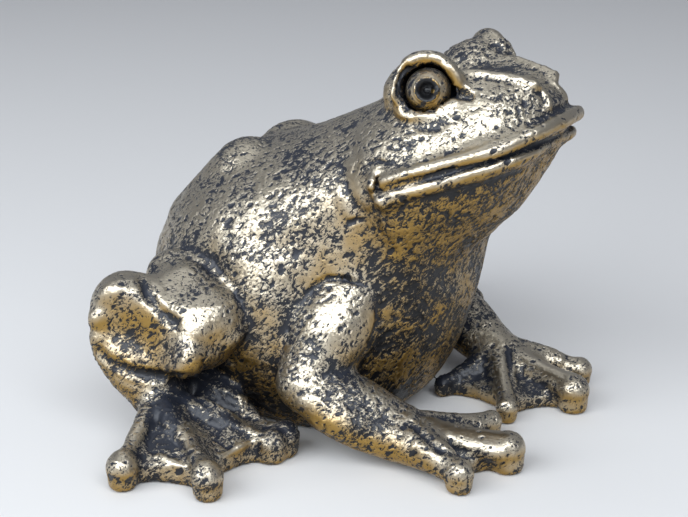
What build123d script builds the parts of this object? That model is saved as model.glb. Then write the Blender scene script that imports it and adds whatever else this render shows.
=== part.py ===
"""Seated frog figurine, cast in parts that are pinned and glued into one ornament.

Lengths are in millimetres and angles in degrees. +Z is up, the frog faces -Y,
its left side is +X, and the origin lies on the ground under the middle of the figure.
"""
import os
from math import cos, radians, sin

from build123d import *

os.makedirs("parts", exist_ok=True)

# Whole figure: the straight spine runs from the rump up to the tip of the snout
SPINE_PITCH = 27.5
RUMP_BACK = 69.0
RUMP_HEIGHT = 31.6
STANCE_SHIFT = -1.3

# Torso: the stations hold the share of the length along the spine, then the shares
# of half width, of rise above the spine and of drop below it, and how full the belly is
TORSO_LENGTH = 100.6
TORSO_HALF_WIDTH = 41.0
TORSO_RISE = 34.0
TORSO_DROP = 66.0
TORSO_STATION_SHARES = (
    (0.00, 0.28, 0.30, 0.34, 0.71),
    (0.06, 0.54, 0.54, 0.63, 0.72),
    (0.17, 0.77, 0.71, 0.81, 0.78),
    (0.35, 0.99, 0.91, 0.94, 0.82),
    (0.55, 1.05, 0.90, 1.00, 0.81),
    (0.73, 0.95, 0.81, 0.94, 0.74),
    (0.88, 0.85, 0.78, 0.78, 0.71),
    (1.00, 0.82, 0.77, 0.57, 0.71),
)
TORSO_CROWN_SHARES = (0.70, 0.70)
TORSO_WALL = 5.0
NECK_WALL = 14.0

# Hip humps on the back
HUMP_OUT = 13.5
HUMP_BACK_START = 48.8
HUMP_HEIGHT_START = 55.0
HUMP_BACK_END = 32.6
HUMP_HEIGHT_END = 72.0
HUMP_RADIUS = 14.3

# Head: the stations hold the share of the length along the spine, then the shares of
# half width at the mouth, of rise and of drop, then those of the crown's width and rise,
# and the share of the half width to which the cheek leans in
HEAD_LENGTH = 55.8
HEAD_HALF_WIDTH = 36.0
HEAD_RISE = 26.5
HEAD_DROP = 28.0
THROAT_FULL_SHARE = 0.71
HEAD_STATION_SHARES = (
    (0.14, 1.00, 1.00, 0.95, 0.70, 0.73, 1.00),
    (0.31, 0.97, 0.96, 0.73, 0.65, 0.80, 0.96),
    (0.52, 0.85, 0.86, 0.56, 0.60, 0.92, 0.86),
    (0.71, 0.67, 0.70, 0.42, 0.54, 1.04, 0.76),
    (0.86, 0.44, 0.50, 0.31, 0.58, 1.02, 0.80),
    (0.96, 0.22, 0.26, 0.18, 0.66, 0.85, 0.95),
    (1.00, 0.06, 0.07, 0.06, 0.70, 0.75, 1.00),
)

# Lips: two ridges that follow the mouth line, which rises less steeply than the spine
MOUTH_TILT = 6.4
UPPER_LIP_RISE = 3.4
UPPER_LIP_RADIUS = 2.3
UPPER_LIP_SETBACK = 0.8
LOWER_LIP_DROP = 1.8
LOWER_LIP_RADIUS = 2.1
LOWER_LIP_SETBACK = 6.3
LIP_CORNER_RADIUS = 2.6
JAW_TURN = 50.0

# Eyes: where each bulge sits along the head and above the spine, and where the eye looks
EYE_OUT = 16.4
EYE_ALONG_SHARE = 0.426
EYE_RISE = 22.1
EYE_TURN = 30.0
EYE_LIFT = 14.0
EYE_BULGE_RADIUS = 10.4
EYE_BULGE_LENGTH = 3.0
EYE_SET = 5.2
EYEBALL_RADIUS = 5.9
SOCKET_GAP = 1.5
BROW_SET = 6.6
BROW_LIFT = 1.2
BROW_RING_RADIUS = 8.2
BROW_RADIUS = 2.2
IRIS_RADIUS = 2.8
IRIS_RIDGE_RADIUS = 0.5
PUPIL_RADIUS = 2.2
PUPIL_DEPTH = 0.8
GLINT_RADIUS = 0.7
EYE_PEG_RADIUS = 2.4
EYE_PEG_LENGTH = 6.0

# Ridge from each brow to its nostril
RIDGE_OUT_START = 13.6
RIDGE_START_SHARE = 0.600
RIDGE_RISE_START = 22.2
RIDGE_OUT_END = 6.8
RIDGE_END_SHARE = 0.912
RIDGE_RISE_END = 10.5
RIDGE_RADIUS = 2.2
NOSTRIL_RADIUS = 0.9
NOSTRIL_SHARE = 0.946

# Forelegs: joints are given outwards, forwards and upwards from the origin
SHOULDER_OUT = 26.0
SHOULDER_FORWARD = 12.0
SHOULDER_HEIGHT = 47.0
SHOULDER_RADIUS = 11.5
UPPER_ARM_RADIUS = 12.0
ELBOW_OUT = 44.0
ELBOW_FORWARD = 7.0
ELBOW_HEIGHT = 22.0
ELBOW_RADIUS = 9.0
FOREARM_RADIUS = 9.6
WRIST_OUT = 34.0
WRIST_FORWARD = 34.0
WRIST_HEIGHT = 9.5
WRIST_RADIUS = 7.8

# Hands: finger tips as shares of the spread outwards and of the length forwards, measured
# from the wrist, with the share of the finger's thickness
HAND_LENGTH = 31.5
HAND_SPREAD = 28.5
HAND_RIM = 5.0
FINGER_TIP_SHARES = (
    (-0.70, -0.35, 0.72),
    (-0.98, 0.50, 0.84),
    (-0.32, 0.96, 1.22),
    (0.37, 0.77, 1.00),
)
FINGER_ROOT_RADIUS = 6.0
FINGER_RADIUS = 4.4
FINGER_KNOB_RADIUS = 4.3

# Hind legs
HIP_OUT = 41.6
HIP_BACK = 42.8
HIP_HEIGHT = 46.3
HIP_RADIUS = 9.2
THIGH_RADIUS = 10.8
KNEE_OUT = 54.6
KNEE_BACK = 23.1
KNEE_HEIGHT = 40.4
KNEE_RADIUS = 9.3
SHIN_OUT = 56.6
SHIN_BACK = 26.3
SHIN_HEIGHT = 33.1
SHIN_RADIUS = 9.2
SHANK_RADIUS = 11.2
HEEL_OUT = 60.6
HEEL_BACK = 47.0
HEEL_HEIGHT = 41.8
HEEL_RADIUS = 11.0

# Hind feet: toe tips as shares of the spread outwards and of the length forwards, measured
# from the ankle, with the share of the toe's thickness
TARSUS_OUT = 63.6
TARSUS_BACK = 47.3
TARSUS_HEIGHT = 30.4
TARSUS_RADIUS = 9.2
ANKLE_OUT = 62.0
ANKLE_BACK = 35.0
ANKLE_HEIGHT = 15.5
ANKLE_RADIUS = 8.0
INSTEP_OUT = 42.0
INSTEP_BACK = 38.5
INSTEP_HEIGHT = 12.5
INSTEP_RADIUS = 4.5
FOOT_LENGTH = 38.0
FOOT_SPREAD = 29.5
FOOT_RIM = 6.5
WEB_HEEL_OUT = 36.0
WEB_HEEL_BACK = 42.0
TOE_TIP_SHARES = (
    (1.00, 0.23, 1.08),
    (0.75, 0.88, 1.08),
    (-0.22, 0.96, 1.00),
    (-0.42, 0.98, 1.05),
)
TOE_ROOT_RADIUS = 4.2
TOE_RADIUS = 3.0
TOE_KNOB_RADIUS = 4.4

# Limbs swell at this share of their length, webs dip by this share of the gap between
# two tips, and knobs have their middle this share of their radius off the ground
BELLY_SHARE = 0.45
WEB_DIP_SHARE = 0.20
KNOB_STAND_SHARE = 1.40
TOE_NECK_ANGLE = 40.0
FINGER_NECK_ANGLE = 12.0
PAD_SHARE = 0.92

# Base plate, felt pad and the pins that join the castings
GLUE_GAP = 0.15
PLATE_THICKNESS = 4.0
FELT_THICKNESS = 1.2
FELT_INSET = 1.0
PIN_RADIUS = 2.0
PIN_LENGTH = 13.0
NECK_PIN_DROP = 4.0
SHOULDER_PIN_OUT = 31.0
HIP_PIN_OUT = 38.5
TARSUS_PIN_HEIGHT = 32.0


def place(outwards, forwards, upwards):
    """Point given from the origin as distances outwards, forwards and upwards."""
    return Vector(outwards, STANCE_SHIFT - forwards, upwards)


def spine_point(outwards, along, rise):
    """Point given by its distance along the spine and its rise square to it."""
    pitch = radians(SPINE_PITCH)
    return Vector(
        outwards,
        STANCE_SHIFT + RUMP_BACK - along * cos(pitch) + rise * sin(pitch),
        RUMP_HEIGHT + along * sin(pitch) + rise * cos(pitch),
    )


def spine_plane(along):
    """Plane square to the spine, its sketch x outwards and its sketch y upwards."""
    heading = spine_point(0, 1, 0) - spine_point(0, 0, 0)
    return Plane(origin=spine_point(0, along, 0), x_dir=(1, 0, 0), z_dir=heading)


def head_along(share):
    """Distance along the spine of a share of the head's length."""
    return TORSO_LENGTH + share * HEAD_LENGTH


def mouth_plane(along, rise):
    """Plane through the mouth corners, its sketch y forwards along the mouth line."""
    pitch = radians(SPINE_PITCH - MOUTH_TILT)
    return Plane(
        origin=spine_point(0, along, rise),
        x_dir=(1, 0, 0),
        z_dir=(0, -sin(pitch), -cos(pitch)),
    )


def quarter_handles(width, height, crown_width, crown_height, lean_width):
    """Handles of a quarter curve that passes its crown point halfway round."""
    side_handle = (crown_height * 8 - height * 4) / 3
    top_handle = (crown_width * 8 - width - lean_width * 3) / 3
    return side_handle, top_handle


def body_section(along, half_width, rise, drop, full_share, crown_width, crown_rise, cheek_width):
    """Outline square to the spine, in four quarters: a crowned top over a round belly."""
    side_up, top_out = quarter_handles(half_width, rise, crown_width, crown_rise, cheek_width)
    side_down, bottom_out = quarter_handles(
        half_width, drop, full_share * half_width, full_share * drop, half_width
    )
    with BuildSketch(spine_plane(along)) as section:
        with BuildLine():
            Bezier((half_width, 0), (cheek_width, side_up), (top_out, rise), (0, rise))
            Bezier((0, rise), (-top_out, rise), (-cheek_width, side_up), (-half_width, 0))
            Bezier((-half_width, 0), (-half_width, -side_down), (-bottom_out, -drop), (0, -drop))
            Bezier((0, -drop), (bottom_out, -drop), (half_width, -side_down), (half_width, 0))
        make_face()
    return section.sketch


def torso_sections(inset, neck_inset):
    """Torso outlines, drawn in from the skin by the inset."""
    reach = TORSO_LENGTH - inset - neck_inset
    crown_width_share, crown_rise_share = TORSO_CROWN_SHARES
    sections = []
    for along_share, width_share, rise_share, drop_share, full_share in TORSO_STATION_SHARES:
        half_width = width_share * TORSO_HALF_WIDTH - inset
        rise = rise_share * TORSO_RISE - inset
        sections.append(
            body_section(
                inset + along_share * reach,
                half_width,
                rise,
                drop_share * TORSO_DROP - inset,
                full_share,
                crown_width_share * half_width,
                crown_rise_share * rise,
                half_width,
            )
        )
    return sections


def head_sections():
    """Head outlines from behind the mouth corners to the tip of the snout."""
    sections = []
    for row in HEAD_STATION_SHARES:
        along_share, width_share, rise_share, drop_share = row[:4]
        crown_width_share, crown_rise_share, cheek_share = row[4:]
        half_width = width_share * HEAD_HALF_WIDTH
        rise = rise_share * HEAD_RISE
        sections.append(
            body_section(
                head_along(along_share),
                half_width,
                rise,
                drop_share * HEAD_DROP,
                THROAT_FULL_SHARE,
                crown_width_share * half_width,
                crown_rise_share * rise,
                cheek_share * half_width,
            )
        )
    return sections


def muscle(start, end, start_radius, belly_radius, end_radius, neck_angle=0):
    """Spindle from joint to joint; the neck angle sets its end ball off as a knob."""
    run = end - start
    side = Plane(origin=start, z_dir=run).x_dir
    with BuildPart() as spindle:
        with BuildSketch(Plane(origin=start, x_dir=side, z_dir=side.cross(run))):
            with BuildLine():
                start_ball = CenterArc((0, 0), start_radius, -90, 90)
                end_ball = CenterArc((0, run.length), end_radius, -neck_angle, 90 + neck_angle)
                Spline(
                    start_ball @ 1,
                    (belly_radius, BELLY_SHARE * run.length),
                    end_ball @ 0,
                    tangents=(start_ball % 1, end_ball % 0),
                )
                Line(end_ball @ 1, start_ball @ 0)
            make_face()
        revolve(axis=Axis(start, run))
    return spindle.part


def digits(root, tips, root_radius, shaft_radius, neck_angle):
    """Toes that run from one root to their tips, each with a knob and a pad under it."""
    pieces = []
    for tip in tips:
        knob_radius = tip.Z / KNOB_STAND_SHARE
        with BuildPart(Location((tip.X, tip.Y, tip.Z / 2))) as pad:
            Cylinder(PAD_SHARE * knob_radius, tip.Z)
        shaft = muscle(root, tip, root_radius, shaft_radius, knob_radius, neck_angle)
        pieces += [shaft, pad.part]
    return pieces


def web_fan(tips, heel, apex, rim_height):
    """Web of a foot: an upright rim that dips between the tips, and a tent over it."""
    with BuildPart() as fan:
        with BuildSketch():
            with BuildLine():
                for tip, next_tip in zip(tips, tips[1:]):
                    middle = (tip + next_tip) / 2
                    dip_depth = (next_tip - tip).length * WEB_DIP_SHARE
                    dip = middle + (apex - middle).normalized() * dip_depth
                    ThreePointArc((tip.X, tip.Y), (dip.X, dip.Y), (next_tip.X, next_tip.Y))
                Line((tips[-1].X, tips[-1].Y), (heel.X, heel.Y))
                Line((heel.X, heel.Y), (tips[0].X, tips[0].Y))
            make_face()
        extrude(amount=rim_height)
        rim_face = fan.faces().sort_by(Axis.Z)[-1]
        loft(sections=[rim_face, Vertex(apex.X, apex.Y, apex.Z)], ruled=True)
    return fan.part


def jaw_radii(half_width, reach):
    """Radii of the jaw line's side arcs and tip arc, which meet at the jaw turn."""
    turn_sin = sin(radians(JAW_TURN))
    turn_cos = cos(radians(JAW_TURN))
    tip_gain = turn_sin * turn_cos - (1 - turn_cos) * (1 - turn_sin)
    tip_radius = (half_width * turn_sin - reach * (1 - turn_cos)) / tip_gain
    side_radius = (reach - tip_radius * (1 - turn_sin)) / turn_sin
    return side_radius, tip_radius


def lip_ridge(corner_rise, radius, setback):
    """Ridge round the jaw, from one mouth corner over the snout to the other."""
    corner_along = head_along(HEAD_STATION_SHARES[0][0])
    reach = TORSO_LENGTH + HEAD_LENGTH - setback - corner_along
    side_radius, tip_radius = jaw_radii(HEAD_HALF_WIDTH, reach)
    with BuildPart() as ridge:
        with BuildLine(mouth_plane(corner_along, corner_rise)) as path:
            left = JernArc((HEAD_HALF_WIDTH, 0), (0, 1), side_radius, JAW_TURN)
            tip = JernArc(left @ 1, left % 1, tip_radius, 180 - JAW_TURN * 2)
            JernArc(tip @ 1, tip % 1, side_radius, JAW_TURN)
        with BuildSketch(Plane(origin=path.wires()[0] @ 0, z_dir=path.wires()[0] % 0)):
            Circle(radius)
        sweep()
        with Locations(path.wires()[0] @ 0, path.wires()[0] @ 1):
            Sphere(LIP_CORNER_RADIUS)
    return ridge.part


def eye_plane(rise):
    """Plane in the left eye bulge, at a rise above the spine, looking out of the eye."""
    turn = radians(EYE_TURN)
    lift = radians(EYE_LIFT)
    look = (cos(turn) * cos(lift), -sin(turn) * cos(lift), sin(lift))
    return Plane(origin=spine_point(EYE_OUT, head_along(EYE_ALONG_SHARE), rise), z_dir=look)


def round_pin(middle, heading, gap):
    """Round pin about a middle point, or its hole when there is a gap round it."""
    with BuildPart(Plane(origin=middle, z_dir=heading)) as pin:
        Cylinder(PIN_RADIUS + gap, PIN_LENGTH + gap * 2)
    return pin.part


def mirrored(part):
    """The same part on the frog's right side."""
    return mirror(part, about=Plane.YZ, mode=Mode.PRIVATE)


def with_mirror(parts):
    """Parts of the left side, each followed by its twin on the right side."""
    return [side for part in parts for side in (part, mirrored(part))]


# Joints of the left limbs
shoulder = place(SHOULDER_OUT, SHOULDER_FORWARD, SHOULDER_HEIGHT)
elbow = place(ELBOW_OUT, ELBOW_FORWARD, ELBOW_HEIGHT)
wrist = place(WRIST_OUT, WRIST_FORWARD, WRIST_HEIGHT)
hip = place(HIP_OUT, -HIP_BACK, HIP_HEIGHT)
knee = place(KNEE_OUT, -KNEE_BACK, KNEE_HEIGHT)
shin = place(SHIN_OUT, -SHIN_BACK, SHIN_HEIGHT)
heel = place(HEEL_OUT, -HEEL_BACK, HEEL_HEIGHT)
tarsus = place(TARSUS_OUT, -TARSUS_BACK, TARSUS_HEIGHT)
ankle = place(ANKLE_OUT, -ANKLE_BACK, ANKLE_HEIGHT)
instep = place(INSTEP_OUT, -INSTEP_BACK, INSTEP_HEIGHT)

# Pins and their holes: each joint has a middle point and a heading
neck_plane = spine_plane(TORSO_LENGTH)
neck_joint = (spine_point(0, TORSO_LENGTH, -NECK_PIN_DROP), neck_plane.z_dir)
shoulder_joint = (place(SHOULDER_PIN_OUT, SHOULDER_FORWARD, SHOULDER_HEIGHT), (1, 0, 0))
hip_joint = (place(HIP_PIN_OUT, -HIP_BACK, HIP_HEIGHT), (1, 0, 0))
tarsus_joint = (place(TARSUS_OUT, -TARSUS_BACK, TARSUS_PIN_HEIGHT), (0, 0, 1))
side_joints = (shoulder_joint, hip_joint, tarsus_joint)

neck_hole = round_pin(*neck_joint, GLUE_GAP)
left_holes = [round_pin(*joint, GLUE_GAP) for joint in side_joints]
side_holes = with_mirror(left_holes)

# Body forms: the torso and the head are lofted past the neck plane, then cut off at it,
# so that the skin runs on smoothly from one to the other
skin_sections = torso_sections(0, 0)
snout_sections = head_sections()

with BuildPart() as torso_skin:
    loft(sections=skin_sections + snout_sections[:2])
    split(bisect_by=neck_plane, keep=Keep.BOTTOM)
    split(bisect_by=Plane.YZ, keep=Keep.TOP)
    mirror(about=Plane.YZ)

with BuildPart() as head_skin:
    loft(sections=skin_sections[-2:] + snout_sections)
    split(bisect_by=neck_plane, keep=Keep.TOP)
    split(bisect_by=Plane.YZ, keep=Keep.TOP)
    mirror(about=Plane.YZ)

hump = muscle(
    place(HUMP_OUT, -HUMP_BACK_START, HUMP_HEIGHT_START),
    place(HUMP_OUT, -HUMP_BACK_END, HUMP_HEIGHT_END),
    HUMP_RADIUS,
    HUMP_RADIUS,
    HUMP_RADIUS,
)
humps = with_mirror([hump])

with BuildPart() as torso_form:
    add(torso_skin.part)
    for bump in humps:
        add(bump)
    split(bisect_by=Plane.XY, keep=Keep.TOP)

# Torso: hollow casting, open underneath
with BuildPart() as torso:
    add(torso_form.part)
    loft(sections=torso_sections(TORSO_WALL, NECK_WALL), mode=Mode.SUBTRACT)
    for hole in [neck_hole] + side_holes:
        add(hole, mode=Mode.SUBTRACT)
torso.part.label = "torso"
export_step(torso.part, "parts/torso.step")

# Base plate: closes the hollow from below, above the felt
with BuildPart() as base_plate:
    loft(sections=torso_sections(TORSO_WALL + GLUE_GAP, NECK_WALL))
    split(bisect_by=Plane.XY.offset(FELT_THICKNESS), keep=Keep.TOP)
    split(bisect_by=Plane.XY.offset(FELT_THICKNESS + PLATE_THICKNESS), keep=Keep.BOTTOM)
base_plate.part.label = "base_plate"
export_step(base_plate.part, "parts/base_plate.step")

# Felt pad: glued under the base plate, level with the ground
with BuildPart() as base_felt:
    loft(sections=torso_sections(TORSO_WALL + FELT_INSET, NECK_WALL))
    split(bisect_by=Plane.XY, keep=Keep.TOP)
    split(bisect_by=Plane.XY.offset(FELT_THICKNESS), keep=Keep.BOTTOM)
base_felt.part.label = "base_felt"
export_step(base_felt.part, "parts/base_felt.step")

# Eye: ball with a raised iris ring, a dished pupil and a peg for its hole in the head
iris_height = (EYEBALL_RADIUS**2 - IRIS_RADIUS**2) ** 0.5
peg_reach = EYEBALL_RADIUS + EYE_PEG_LENGTH
ball_plane = eye_plane(EYE_RISE).offset(EYE_SET)

with BuildPart(ball_plane) as eye_left:
    Sphere(EYEBALL_RADIUS)
    with Locations((0, 0, -peg_reach / 2)):
        Cylinder(EYE_PEG_RADIUS, peg_reach)
    with Locations((0, 0, iris_height)):
        Torus(IRIS_RADIUS, IRIS_RIDGE_RADIUS)
    with Locations((0, 0, EYEBALL_RADIUS)):
        Cylinder(PUPIL_RADIUS, PUPIL_DEPTH * 2, mode=Mode.SUBTRACT)
    with Locations((0, 0, EYEBALL_RADIUS - PUPIL_DEPTH)):
        Sphere(GLINT_RADIUS)
eye_left.part.label = "eye_left"
export_step(eye_left.part, "parts/eye_left.step")

eye_right = mirrored(eye_left.part)
eye_right.label = "eye_right"
export_step(eye_right, "parts/eye_right.step")

# Eye bulges with their brow rings, and the sockets that are cut into them
eye_dome = muscle(
    spine_point(EYE_OUT, head_along(EYE_ALONG_SHARE) - EYE_BULGE_LENGTH, EYE_RISE),
    spine_point(EYE_OUT, head_along(EYE_ALONG_SHARE), EYE_RISE),
    EYE_BULGE_RADIUS,
    EYE_BULGE_RADIUS,
    EYE_BULGE_RADIUS,
)
with BuildPart(eye_plane(EYE_RISE + BROW_LIFT).offset(BROW_SET)) as brow_ring:
    Torus(BROW_RING_RADIUS, BROW_RADIUS)

with BuildPart(ball_plane) as socket:
    Sphere(EYEBALL_RADIUS + SOCKET_GAP)
    with Locations((0, 0, -(peg_reach + GLUE_GAP) / 2)):
        Cylinder(EYE_PEG_RADIUS + GLUE_GAP, peg_reach + GLUE_GAP)

snout_ridge = muscle(
    spine_point(RIDGE_OUT_START, head_along(RIDGE_START_SHARE), RIDGE_RISE_START),
    spine_point(RIDGE_OUT_END, head_along(RIDGE_END_SHARE), RIDGE_RISE_END),
    RIDGE_RADIUS,
    RIDGE_RADIUS,
    RIDGE_RADIUS,
)
nostril_place = spine_point(RIDGE_OUT_END, head_along(NOSTRIL_SHARE), RIDGE_RISE_END)
with BuildPart(Location(nostril_place)) as nostril:
    Sphere(NOSTRIL_RADIUS)

head_additions = [
    lip_ridge(UPPER_LIP_RISE, UPPER_LIP_RADIUS, UPPER_LIP_SETBACK),
    lip_ridge(-LOWER_LIP_DROP, LOWER_LIP_RADIUS, LOWER_LIP_SETBACK),
] + with_mirror([eye_dome, brow_ring.part, snout_ridge])
head_cuts = with_mirror([socket.part, nostril.part]) + [neck_hole]

# Head: its skin with lips, eye bulges and snout ridges
with BuildPart() as head:
    add(head_skin.part)
    for addition in head_additions:
        add(addition)
    for cut in head_cuts:
        add(cut, mode=Mode.SUBTRACT)
head.part.label = "head"
export_step(head.part, "parts/head.step")

# Foreleg: upper arm, forearm, four fingers and the web between them
finger_tips = [
    place(
        WRIST_OUT + out_share * HAND_SPREAD,
        WRIST_FORWARD + forward_share * HAND_LENGTH,
        KNOB_STAND_SHARE * size_share * FINGER_KNOB_RADIUS,
    )
    for out_share, forward_share, size_share in FINGER_TIP_SHARES
]
foreleg_muscles = [
    muscle(shoulder, elbow, SHOULDER_RADIUS, UPPER_ARM_RADIUS, ELBOW_RADIUS),
    muscle(elbow, wrist, ELBOW_RADIUS, FOREARM_RADIUS, WRIST_RADIUS),
] + digits(wrist, finger_tips, FINGER_ROOT_RADIUS, FINGER_RADIUS, FINGER_NECK_ANGLE)
hand_web = web_fan(finger_tips, wrist, wrist, HAND_RIM)

with BuildPart() as foreleg_left:
    for limb in foreleg_muscles:
        add(limb)
    add(hand_web)
    split(bisect_by=Plane.XY, keep=Keep.TOP)
    add(torso_form.part, mode=Mode.SUBTRACT)
    for hole in left_holes:
        add(hole, mode=Mode.SUBTRACT)
foreleg_left.part.label = "foreleg_left"
export_step(foreleg_left.part, "parts/foreleg_left.step")

foreleg_right = mirrored(foreleg_left.part)
foreleg_right.label = "foreleg_right"
export_step(foreleg_right, "parts/foreleg_right.step")

# Hind leg: thigh and shank folded against each other
hind_leg_muscles = [
    muscle(hip, knee, HIP_RADIUS, THIGH_RADIUS, KNEE_RADIUS),
    muscle(shin, heel, SHIN_RADIUS, SHANK_RADIUS, HEEL_RADIUS),
]

with BuildPart() as hind_leg_form:
    for limb in hind_leg_muscles:
        add(limb)
    add(torso_form.part, mode=Mode.SUBTRACT)

with BuildPart() as hind_leg_left:
    add(hind_leg_form.part)
    for hole in left_holes:
        add(hole, mode=Mode.SUBTRACT)
hind_leg_left.part.label = "hind_leg_left"
export_step(hind_leg_left.part, "parts/hind_leg_left.step")

hind_leg_right = mirrored(hind_leg_left.part)
hind_leg_right.label = "hind_leg_right"
export_step(hind_leg_right, "parts/hind_leg_right.step")

# Hind foot: tarsus, toes and the web between them
toe_tips = [
    place(
        ANKLE_OUT + out_share * FOOT_SPREAD,
        forward_share * FOOT_LENGTH - ANKLE_BACK,
        KNOB_STAND_SHARE * size_share * TOE_KNOB_RADIUS,
    )
    for out_share, forward_share, size_share in TOE_TIP_SHARES
]
outer_toes = digits(ankle, toe_tips[:-1], TOE_ROOT_RADIUS, TOE_RADIUS, TOE_NECK_ANGLE)
inner_toe = digits(instep, toe_tips[-1:], INSTEP_RADIUS, TOE_RADIUS, TOE_NECK_ANGLE)
hind_foot_muscles = [
    muscle(tarsus, ankle, TARSUS_RADIUS, TARSUS_RADIUS, ANKLE_RADIUS),
    muscle(ankle, instep, INSTEP_RADIUS, INSTEP_RADIUS, INSTEP_RADIUS),
] + outer_toes + inner_toe
web_heel = place(WEB_HEEL_OUT, -WEB_HEEL_BACK, 0)
foot_web = web_fan(toe_tips, web_heel, ankle, FOOT_RIM)

with BuildPart() as hind_foot_left:
    for limb in hind_foot_muscles:
        add(limb)
    add(foot_web)
    split(bisect_by=Plane.XY, keep=Keep.TOP)
    for neighbour in [hind_leg_form.part, torso_form.part, foreleg_left.part] + left_holes:
        add(neighbour, mode=Mode.SUBTRACT)
hind_foot_left.part.label = "hind_foot_left"
export_step(hind_foot_left.part, "parts/hind_foot_left.step")

hind_foot_right = mirrored(hind_foot_left.part)
hind_foot_right.label = "hind_foot_right"
export_step(hind_foot_right, "parts/hind_foot_right.step")

# Joint pins: neck, shoulders, hips and ankles, as separate solids
left_pins = [round_pin(*joint, 0) for joint in side_joints]
pins = [round_pin(*neck_joint, 0)] + with_mirror(left_pins)

with BuildPart() as joint_pins:
    for pin in pins:
        add(pin)
joint_pins.part.label = "joint_pins"
export_step(joint_pins.part, "parts/joint_pins.step")
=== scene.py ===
"""Seated frog figurine: sculpted skin over its castings, antique gold paint, plain studio."""
import math

import bpy
import numpy as np
from mathutils import Matrix, Vector
from mathutils.bvhtree import BVHTree


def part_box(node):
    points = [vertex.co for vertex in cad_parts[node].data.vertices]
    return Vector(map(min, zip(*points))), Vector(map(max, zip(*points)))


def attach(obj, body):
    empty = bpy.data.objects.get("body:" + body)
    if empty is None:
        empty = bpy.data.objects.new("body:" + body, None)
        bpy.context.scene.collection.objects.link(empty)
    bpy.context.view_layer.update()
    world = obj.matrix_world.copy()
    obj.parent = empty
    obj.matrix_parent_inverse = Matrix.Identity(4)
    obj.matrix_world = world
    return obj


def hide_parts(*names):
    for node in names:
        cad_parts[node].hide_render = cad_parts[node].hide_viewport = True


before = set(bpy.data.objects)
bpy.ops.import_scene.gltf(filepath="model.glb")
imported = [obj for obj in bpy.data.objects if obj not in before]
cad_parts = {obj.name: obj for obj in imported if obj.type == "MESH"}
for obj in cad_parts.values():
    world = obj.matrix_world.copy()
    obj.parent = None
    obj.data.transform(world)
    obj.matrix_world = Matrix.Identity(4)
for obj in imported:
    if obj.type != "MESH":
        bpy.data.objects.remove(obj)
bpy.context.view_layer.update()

# Lengths are in metres, in the frame of the castings. Patterns are measured in millimetres
MILLIMETRE = 0.001
# Sides of the figure: its left is at x above zero, and the other is its mirror image
SIDES = (1, -1)
# Least divisor
TINY = 1e-12
# Turn from one point of an even spiral to the next
GOLDEN_TURN = math.pi * (3 - math.sqrt(5))

# Photograph: its size and focal length in pixels, and where its camera stands and looks
PHOTO_WIDTH = 688
PHOTO_HEIGHT = 517
FOCAL_PIXELS = 1500
SENSOR_MILLIMETRES = 36.0
CAMERA_PLACE = Vector((-0.39342, -0.2283, 0.2000))
CAMERA_LOOK = Vector((0.81538, 0.48399, -0.31765))

# Castings under the skin: the share of each that the dark coat covers, and the share of the
# depth of its creases that is filled in each round
CASTINGS = {
    "torso": (0.42, 0.7),
    "head": (0.38, 0.7),
    "foreleg_left": (0.36, 0.4),
    "foreleg_right": (0.36, 0.4),
    "hind_leg_left": (0.33, 0.2),
    "hind_leg_right": (0.33, 0.2),
    "hind_foot_left": (0.40, 0.3),
    "hind_foot_right": (0.40, 0.3),
    "base_plate": (0.50, 0.0),
}
COVER_SHARES, FILL_SHARES = np.array(list(CASTINGS.values())).T
FILLERS = ("joint_pins",)
SKIN_VOXEL = 0.0006
SKIN_SMOOTH_ROUNDS = 6
SEAM_REACH = 0.008
SEAM_BLEND = 0.0015
SEAM_SMOOTH_ROUNDS = 8

# Smoothing that keeps the volume: a step in, then a slightly larger step out
SMOOTH_IN_SHARE = 0.50
SMOOTH_OUT_SHARE = -0.52

# Fillets: creases are filled where the skin lies below its surroundings, away from the eye
# sockets and the mouth
FILL_ROUNDS = 9
FILL_BLUR_ROUNDS = 14
SOCKET_REACH = 0.0085
MOUTH_REACH = 0.00125
FILL_FADE = 0.0025

# Eyes: middle and look of the left ball, and its turn and swell
EYES = ("eye_left", "eye_right")
EYE_MIDDLE = Vector((0.02077, -0.03493, 0.10989))
EYE_LOOK = Vector((0.8403, -0.4851, 0.2419))
EYE_VOXEL = 0.00025
EYE_SMOOTH_ROUNDS = 3
BALL_TURN = math.radians(7)
BALL_SWELL = 0.0006

# Iris ring, dished pupil and the knob in it: how far each reaches, its depth or its height
IRIS_REACH = 0.0040
PUPIL_REACH = 0.0031
PUPIL_DEPTH = 0.0020
KNOB_PLACE = Vector((-0.0009, -0.0015, -0.0004))
KNOB_REACH = 0.0017
# The gilt on the knob also serves as a painted glint in the pupil
KNOB_GILT_AND_PAINTED_GLINT_REACH = 0.00085
KNOB_HEIGHT = 0.0014

# Share of the ball and of its parts that the dark coat covers, and the facing given to the
# pupil, which paints shade into its dish with the darkest coat
EYE_COVER_SHARE = 0.42
EYE_CREASE_SHARE = 0.25
IRIS_COVER_SHARE = -0.2
PUPIL_COVER_SHARE = 1.1
PUPIL_PAINTED_SHADE_FACING = -1
EYE_BLUR_ROUNDS = 2

# Lids: rounded off within this reach of the middle of the ball
LID_REACH = 0.0125
LID_FADE = 0.0020
LID_ROUNDS = 3

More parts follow.
